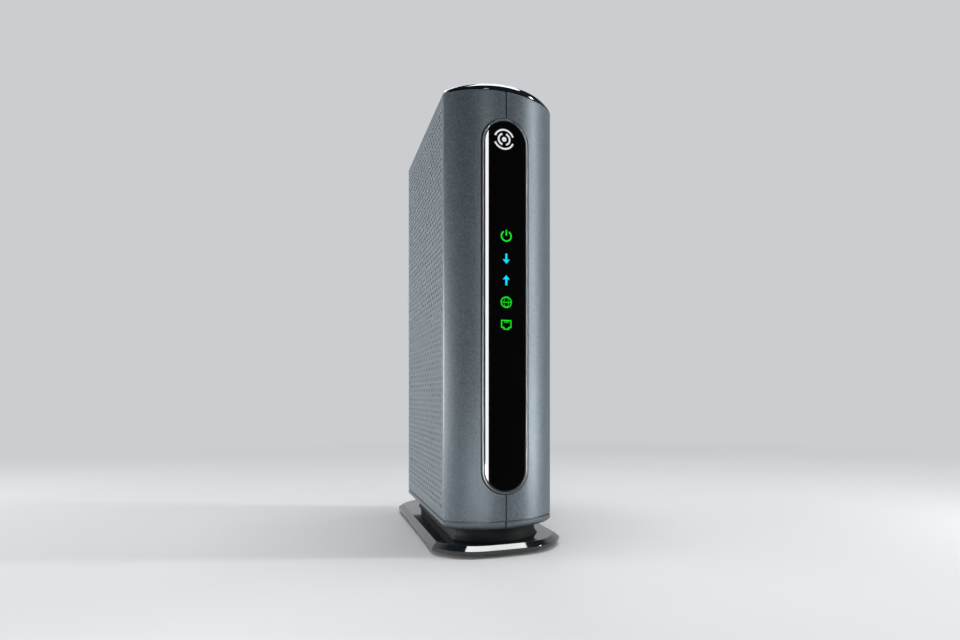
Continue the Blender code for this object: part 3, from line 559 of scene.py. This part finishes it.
# ------------------------------------------------------------------ plan outlines
def plan(inset=0.0, arc=72, fillet=8):
    cx = HALF_W - CORNER_R
    cy = FRONT_R - math.sqrt((FRONT_R - CORNER_R) ** 2 - cx * cx)
    end = math.asin(cx / (FRONT_R - CORNER_R))
    half = [(FRONT_R * math.sin(end * i / (arc // 2)), FRONT_R - FRONT_R * math.cos(end * i / (arc // 2))) for i in range(arc // 2 + 1)]
    for i in range(1, fillet + 1):
        t = end + (math.pi / 2 - end) * i / fillet
        half.append((cx + CORNER_R * math.sin(t), cy - CORNER_R * math.cos(t)))
    for i in range(1, 12):
        half.append((HALF_W, cy + (DEPTH - REAR_R - cy) * i / 12))
    for i in range(7):
        t = math.pi / 2 * i / 6
        half.append((HALF_W - REAR_R + REAR_R * math.cos(t), DEPTH - REAR_R + REAR_R * math.sin(t)))
    for i in range(1, 6):
        half.append(((HALF_W - REAR_R) * (1 - i / 6), DEPTH))
    whole = half + [(-x, y) for x, y in reversed(half[1:])]
    mid = DEPTH / 2
    sx, sy = 1 - inset / HALF_W, 1 - inset / mid
    return [(x * sx, mid + (y - mid) * sy) for x, y in whole]


def crown(x, y):
    u, w = x / HALF_W, (y - DEPTH / 2) / (DEPTH / 2)
    return 199.87 - 1.5 * u * u - 0.4 * w * w


def cap():
    b = Build()
    rings = [[(x, y, 196.42) for x, y in plan(0.55)], [(x, y, 196.6) for x, y in plan(0.30)]]
    wall = plan(0.25)
    rings.append([(x, y, max(crown(x, y) - 1.36, 196.9)) for x, y in wall])
    # a leaning flat between two support loops, then a soft roll on to the crown
    for inset, drop in ((0.28, 1.30), (0.33, 1.20), (0.80, 0.48), (0.88, 0.38), (1.02, 0.25), (1.25, 0.12), (1.5, 0.04)):
        rings.append([(x, y, max(crown(x, y) - drop, 196.95)) for x, y in plan(inset)])
    for inset in (1.8, 2.6, 4.0, 6.0, 8.5, 11.0, 13.5, 16.0, 18.5, 20.5, 22.0, 23.2):
        rings.append([(x, y, crown(x, y)) for x, y in plan(inset)])
    b.loft(rings)
    piece("cap_crowned", b.v, b.f, "gloss", ["top_cap"], angle=50)


cap()


# ------------------------------------------------------------------ window, trim, symbols
def stadium(r, z0, z1, n=32):
    top, low = z1 - r, z0 + r
    pts = [(r * math.cos(math.pi * i / n), top + r * math.sin(math.pi * i / n)) for i in range(n + 1)]
    pts += [(r * math.cos(math.pi + math.pi * i / n), low + r * math.sin(math.pi + math.pi * i / n)) for i in range(n + 1)]
    return pts


def lens():
    b = Build()
    z0, z1 = SLOT_Z0, SLOT_Z1

    def level(r, depth, n=48):
        rows = []
        inset = SLOT_R - r
        for i in range(n + 1):
            x = r * math.sin(math.pi * (i / n - 0.5))
            rise = math.sqrt(max(r * r - x * x, 0.0))
            lo, hi = z0 + inset + r - rise, z1 - inset - r + rise
            rows.append(((x, front_y(x) + depth, lo), (x, front_y(x) + depth, hi)))
        return rows

    def rim(rows):
        return [p[0] for p in rows] + [p[1] for p in reversed(rows)]

    front = level(8.60, -0.12)
    levels = [front, level(8.77, -0.07), level(8.87, 0.05), level(8.95, 0.3), level(8.95, 1.4)]
    ids = [b.add(*rim(rows)) for rows in levels]
    for a, c in zip(ids, ids[1:]):
        b.skin(a, c)
    n = len(front)
    for ring in (ids[0], ids[-1]):
        for i in range(n - 1):
            b.face(ring[i], ring[i + 1], ring[2 * n - 2 - i], ring[2 * n - 1 - i])
    piece("window_dark", b.v, b.f, "lens", ["front_window"], angle=12)


lens()


def trim():
    b = Build()
    section = [(9.83, 2.2), (9.83, 0.12), (9.76, -0.04), (9.64, -0.14), (9.46, -0.17), (9.26, -0.13), (9.14, -0.02), (9.09, 0.14), (9.09, 2.2)]
    outlines = []
    for r, depth in section:
        inset = SLOT_R - r
        outlines.append([(x, front_y(x) + depth, z) for x, z in stadium(r, SLOT_Z0 + inset, SLOT_Z1 - inset, 48)])
    loops = [[o[i] for o in outlines] for i in range(len(outlines[0]))]
    b.torus(loops)
    piece("trim_ring", b.v, b.f, "trim", ["window_trim"], angle=50)


trim()


def glyph(name, strokes, cz, mat, cx=0.0):
    """Thin raised symbol on the window. A stroke is (outer points, inner points, closed) in mm about (cx, cz)."""
    b = Build()
    for left, right, closed in strokes:
        sides = []
        for depth in (-0.15, -0.11):
            sides.append([b.add(*[(cx + u, front_y(cx + u) + depth, cz + w) for u, w in line]) for line in (left, right)])
        (fl, fr), (bl, br) = sides
        b.skin(fl, fr, closed)
        b.skin(br, bl, closed)
        b.skin(fl, bl, closed)
        b.skin(fr, br, closed)
        if not closed:
            b.face(fl[0], fr[0], br[0], bl[0])
            b.face(fl[-1], fr[-1], br[-1], bl[-1])
    return piece(name, b.v, b.f, mat, smooth=False)


def ring_stroke(r, w, a0=0.0, a1=360.0, n=40, squash=1.0):
    closed = abs(a1 - a0) >= 359.9
    count = n if closed else n + 1
    t = [math.radians(a0 + (a1 - a0) * i / n) for i in range(count)]
    return (
        [((r + w / 2) * squash * math.cos(a), (r + w / 2) * math.sin(a)) for a in t],
        [((r - w / 2) * squash * math.cos(a), (r - w / 2) * math.sin(a)) for a in t],
        closed,
    )


def bar(x0, z0, x1, z1, w):
    length = math.hypot(x1 - x0, z1 - z0)
    nx, nz = -(z1 - z0) / length * w / 2, (x1 - x0) / length * w / 2
    steps = 6
    mids = [(x0 + (x1 - x0) * i / steps, z0 + (z1 - z0) * i / steps) for i in range(steps + 1)]
    return ([(x + nx, z + nz) for x, z in mids], [(x - nx, z - nz) for x, z in mids], False)


def arrow(sign):
    def line(x0, z0, x1, z1):
        return [(x0 + (x1 - x0) * i / 4, sign * (z0 + (z1 - z0) * i / 4)) for i in range(5)]

    shaft = (line(-0.43, -2.15, -0.43, 0.7), line(0.43, -2.15, 0.43, 0.7), False)
    barbs = [(line(k * 1.55, 0.3, 0.0, 2.15), line(k * 0.72, 0.3, 0.0, 1.15), False) for k in (-1, 1)]
    core = (line(-0.43, 0.5, -0.05, 1.7), line(0.43, 0.5, 0.05, 1.7), False)
    return [shaft, core, *barbs]


glyph("symbol_power", [ring_stroke(2.1, 0.6, 122, 418), bar(0, 0.2, 0, 2.55, 0.6)], ICON_Z[0], "green")
glyph("symbol_down", arrow(-1), ICON_Z[1], "cyan")
glyph("symbol_up", arrow(1), ICON_Z[2], "cyan")
glyph(
    "symbol_globe",
    [ring_stroke(2.2, 0.44), ring_stroke(2.05, 0.32, squash=0.5), bar(-2.1, 0, 2.1, 0, 0.32)],
    ICON_Z[3],
    "green",
)
glyph(
    "symbol_port",
    [
        bar(-2.0, 1.95, -2.0, -1.3, 0.48), bar(2.0, 1.95, 2.0, -1.3, 0.48), bar(-2.24, 1.75, 2.24, 1.75, 0.48),
        bar(-2.2, -1.15, -0.9, -1.15, 0.48), bar(0.9, -1.15, 2.2, -1.15, 0.48), bar(-1.05, -0.95, -1.05, -2.1, 0.48),
        bar(1.05, -0.95, 1.05, -2.1, 0.48), bar(-1.25, -1.9, 1.25, -1.9, 0.48),
        bar(-0.7, 1.55, -0.7, 0.75, 0.34), bar(0.0, 1.55, 0.0, 0.75, 0.34), bar(0.7, 1.55, 0.7, 0.75, 0.34),
    ],
    ICON_Z[4],
    "green",
)
# the printed mark glows with the white symbol finish: painted light, as nothing lights it from behind
glyph(
    "mark_generic",
    [ring_stroke(4.0, 0.75, 20, 160, 40), ring_stroke(4.0, 0.75, 200, 340, 40), ring_stroke(2.35, 0.75, -70, 70, 24), ring_stroke(2.35, 0.75, 110, 250, 24), ring_stroke(0.5, 0.98, n=20)],
    175.9,
    "white",
    cx=-0.9,
)


# ------------------------------------------------------------------ stand
BASE_W, FC_Y, FA_Y, RC_Y, RA_Y = 28.5, 13.6, -3.8, 130.0, 147.0


def stand_plan(inset=0.0, n=48):
    pts = []
    for i in range(n + 1):
        t = -1 + 2 * i / n
        pts.append((BASE_W * t, FA_Y + (FC_Y - FA_Y) * abs(t) ** 3.6))
    for i in range(1, 10):
        pts.append((BASE_W, FC_Y + (RC_Y - FC_Y) * i / 10))
    for i in range(n + 1):
        t = 1 - 2 * i / n
        pts.append((BASE_W * t, RA_Y + (RC_Y - RA_Y) * abs(t) ** 3.6))
    for i in range(1, 10):
        pts.append((-BASE_W, RC_Y + (FC_Y - RC_Y) * i / 10))
    mid, hy = (FA_Y + RA_Y) / 2, (RA_Y - FA_Y) / 2
    sx, sy = 1 - inset / BASE_W, 1 - inset / hy
    return [(x * sx, mid + (y - mid) * sy) for x, y in pts]


def stand():
    b = Build()
    b.loft([[(x, y, z) for x, y in stand_plan(i)] for i, z in ((0.7, 1.5), (0.2, 1.62), (0.0, 1.95), (0.0, 3.14), (0.06, 3.25), (2.0, 5.05), (2.12, 5.1), (6.0, 5.1))])
    return piece("stand_bevelled", b.v, b.f, "gloss", ["stand_plate"], angle=14)


stand()


def neck():
    b = Build()
    b.loft([[(x, y, z) for x, y in plan(i)] for i, z in ((4.9, 5.15), (5.0, 5.4), (5.5, 6.2), (6.0, 7.2), (6.0, 10.4), (5.8, 10.9))])
    # the neck takes the near-black finish, which is partly painted shade under the body
    return piece("neck_dark", b.v, b.f, "neck", ["stand_neck"], angle=50)


neck()


def rounds(name, profile, cx, cy, mat, nodes, axis="z", n=48, body="modem", angle=35):
    """Turned piece. profile is (radius, height) from one end to the other, both ends on or off the axis."""
    b = Build()
    spot = {"z": lambda r, h, a: (cx + r * math.cos(a), cy + r * math.sin(a), h), "y": lambda r, h, a: (cx + r * math.cos(a), h, cy + r * math.sin(a))}[axis]
    b.loft([[spot(max(r, 0.01), h, 2 * math.pi * i / n) for i in range(n)] for r, h in profile])
    return piece(name, b.v, b.f, mat, nodes, body=body, angle=angle)


for sx, side in ((-1, "left"), (1, "right")):
    for fy, end in ((20.0, "front"), (122.0, "rear")):
        rounds(
            f"pad_{end}_{side}",
            [(3.4, 0.25), (3.6, 0.05), (3.9, 0.0), (4.25, 0.12), (4.5, 0.5), (4.5, 2.1)],
            sx * 19.5, fy, "rubber", [f"foot_{end}_{side}"],
        )


# ------------------------------------------------------------------ finishes for the CAD pieces that stay
KEEP = {
    "clear": ["light_guide"], "board": ["circuit_board"],
    "chip": ["processor_chip", "memory_chip_a", "memory_chip_b", "power_switch", "reset_switch"],
    "pad": ["thermal_pad"], "alu": ["heatsink"], "tin": ["tuner_shield"], "copper": ["power_inductor"],
    "steel": ["coax_washer"] + [n for n in NODES if "screw" in n],
    "black": ["capacitor_a", "capacitor_b", "ethernet_jack", "power_jack", "power_button"],
    "panel": ["rear_panel"], "nickel": ["coax_connector", "coax_nut", "power_jack_pin"],
    "gold": ["ethernet_contacts"], "ivory": ["coax_dielectric"], "red": ["reset_button"],
    "green": ["led_power", "led_online", "led_link", "link_light_a"], "cyan": ["led_downstream", "led_upstream"],
    "amber": ["link_light_b"],
}
for key, names in KEEP.items():
    for n in names:
        NODES[n].data.materials.clear()
        NODES[n].data.materials.append(M[key])
for n in ("rear_panel", "ethernet_jack", "coax_nut", "power_jack", "heatsink", "tuner_shield", "processor_chip"):
    mod = NODES[n].modifiers.new("edge", "BEVEL")
    mod.width = 0.00018
    mod.segments = 2
    mod.limit_method = "ANGLE"
    mod.angle_limit = math.radians(40)
    mod.use_clamp_overlap = True

# ------------------------------------------------------------------ floor, lights, world
floor = bpy.data.meshes.new("studio_floor")
floor.from_pydata([(-6, -0.235, 0), (6, -0.235, 0), (6, 6, 0), (-6, 6, 0)], [], [(0, 1, 2, 3)])
floor_obj = bpy.data.objects.new("studio_floor", floor)
COLL.objects.link(floor_obj)
BACKDROP = (0.60, 0.61, 0.63)
g = Graph("studio_pale")
n = g.noise(3.0, 3.0)
g.link(g.mix(g.span(n, 0.0, 1.0, 0.3, 0.7), (0.47, 0.475, 0.485), (0.50, 0.505, 0.515)), g.bsdf.inputs["Base Color"])
g.set(Roughness=0.85, Specular_IOR_Level=0.1)
away = g.add("ShaderNodeVectorMath", operation="LENGTH")
g.link(g.coord.outputs["Object"], away.inputs[0])
fade = g.add("ShaderNodeMapRange", interpolation_type="SMOOTHSTEP")
fade.inputs["From Min"].default_value = 0.14
fade.inputs["From Max"].default_value = 0.75
g.link(away.outputs["Value"], fade.inputs["Value"])
lit = g.add("ShaderNodeEmission")
lit.inputs[0].default_value = (*BACKDROP, 1.0)
join = g.add("ShaderNodeMixShader")
g.link(fade.outputs["Result"], join.inputs[0])
g.link(g.bsdf.outputs[0], join.inputs[1])
g.link(lit.outputs[0], join.inputs[2])
g.link(join.outputs[0], g.out.inputs[0])
floor.materials.append(g.mat)

world = bpy.data.worlds.new("studio_world")
bpy.context.scene.world = world
world.use_nodes = True
wt = world.node_tree
bg = wt.nodes["Background"]
wc = wt.nodes.new("ShaderNodeTexCoord")
ws = wt.nodes.new("ShaderNodeSeparateXYZ")
wm = wt.nodes.new("ShaderNodeMapRange")
wm.interpolation_type = "SMOOTHSTEP"
for key, value in (("From Min", -0.10), ("From Max", 0.55), ("To Min", 0.0), ("To Max", 1.0)):
    wm.inputs[key].default_value = value
wx = wt.nodes.new("ShaderNodeMix")
wx.data_type = "RGBA"
wx.inputs[6].default_value = (0.012, 0.0125, 0.013, 1.0)
wx.inputs[7].default_value = (*BACKDROP, 1.0)
wt.links.new(wc.outputs["Generated"], ws.inputs[0])
wt.links.new(ws.outputs[1], wm.inputs["Value"])
wh = wt.nodes.new("ShaderNodeMapRange")
wh.interpolation_type = "SMOOTHSTEP"
for key, value in (("From Min", 0.52), ("From Max", 0.75), ("To Min", 1.0), ("To Max", 0.0)):
    wh.inputs[key].default_value = value
wp = wt.nodes.new("ShaderNodeMath")
wp.operation = "MULTIPLY"
wt.links.new(ws.outputs[2], wh.inputs["Value"])
wt.links.new(wm.outputs["Result"], wp.inputs[0])
wt.links.new(wh.outputs["Result"], wp.inputs[1])
wt.links.new(wp.outputs[0], wx.inputs[0])
# the backdrop itself is the same pale grey whichever way a view looks
wl = wt.nodes.new("ShaderNodeLightPath")
wb = wt.nodes.new("ShaderNodeMix")
wb.data_type = "RGBA"
wb.inputs[7].default_value = (*BACKDROP, 1.0)
wt.links.new(wl.outputs["Is Camera Ray"], wb.inputs[0])
wt.links.new(wx.outputs[2], wb.inputs[6])
wt.links.new(wb.outputs[2], bg.inputs[0])
bg.inputs[1].default_value = 1.0


def softbox(name, where, aim, width, height, power, color=(1, 1, 1)):
    data = bpy.data.lights.new(name, "AREA")
    data.shape = "RECTANGLE"
    data.size, data.size_y = width, height
    data.energy = power
    data.color = color
    obj = bpy.data.objects.new(name, data)
    COLL.objects.link(obj)
    obj.location = where
    direction = Vector(aim) - Vector(where)
    obj.rotation_euler = direction.to_track_quat("-Z", "Y").to_euler()
    return obj


centre = Vector((0, 0, 0.1))


def polar(azimuth, distance, z, front=(0.0, -0.06)):
    """Point at azimuth degrees right of straight ahead of the front."""
    a = math.radians(azimuth)
    return (front[0] + distance * math.sin(a), front[1] - distance * math.cos(a), z)


softbox("key_strip_left", polar(-20.5, 0.7, 0.195), (0, -0.06, 0.195), 0.105, 0.56, 2.1)
softbox("strip_right", polar(68, 0.9, 0.22), (0, -0.06, 0.10), 0.09, 0.90, 11)
softbox("low_front_left", (-0.126, -0.222, 0.003), (-0.010, -0.068, 0.02), 0.14, 0.03, 0.26)
softbox("low_right", polar(68, 0.36, 0.015), (0.01, -0.06, 0.01), 0.05, 0.05, 0.62)
softbox("side_left_low", (-0.6, 0.10, 0.05), (-0.02, 0.0, 0.03), 0.4, 0.12, 1.3)
softbox("side_left", (-0.7, 0.38, 0.10), (-0.024, 0.0, 0.04), 0.4, 0.25, 6.2)
softbox("overhead", (0.035, -0.065, 1.05), (0.035, -0.065, 0.0), 0.79, 0.36, 9.5)
softbox("rear_fill", (0.1, 1.15, 1.15), (0.0, 0.05, 0.08), 0.7, 0.5, 6)

# ------------------------------------------------------------------ camera
cam_data = bpy.data.cameras.new("camera")
cam = bpy.data.objects.new("camera", cam_data)
COLL.objects.link(cam)
cam.location = (-0.07635, -0.28252 + YS * MM, 0.06737)
cam.rotation_euler = (math.radians(90), 0, math.radians(-24.426))
cam_data.sensor_width = 36.0
cam_data.lens = 682.2 / 960.0 * 36.0
cam_data.shift_x = -(618.0 - 480.0) / 960.0
cam_data.shift_y = (396.1 - 320.0) / 960.0
cam_data.clip_start = 0.01
cam_data.dof.use_dof = False
bpy.context.scene.camera = cam
bpy.context.scene.view_settings.view_transform = "Standard"
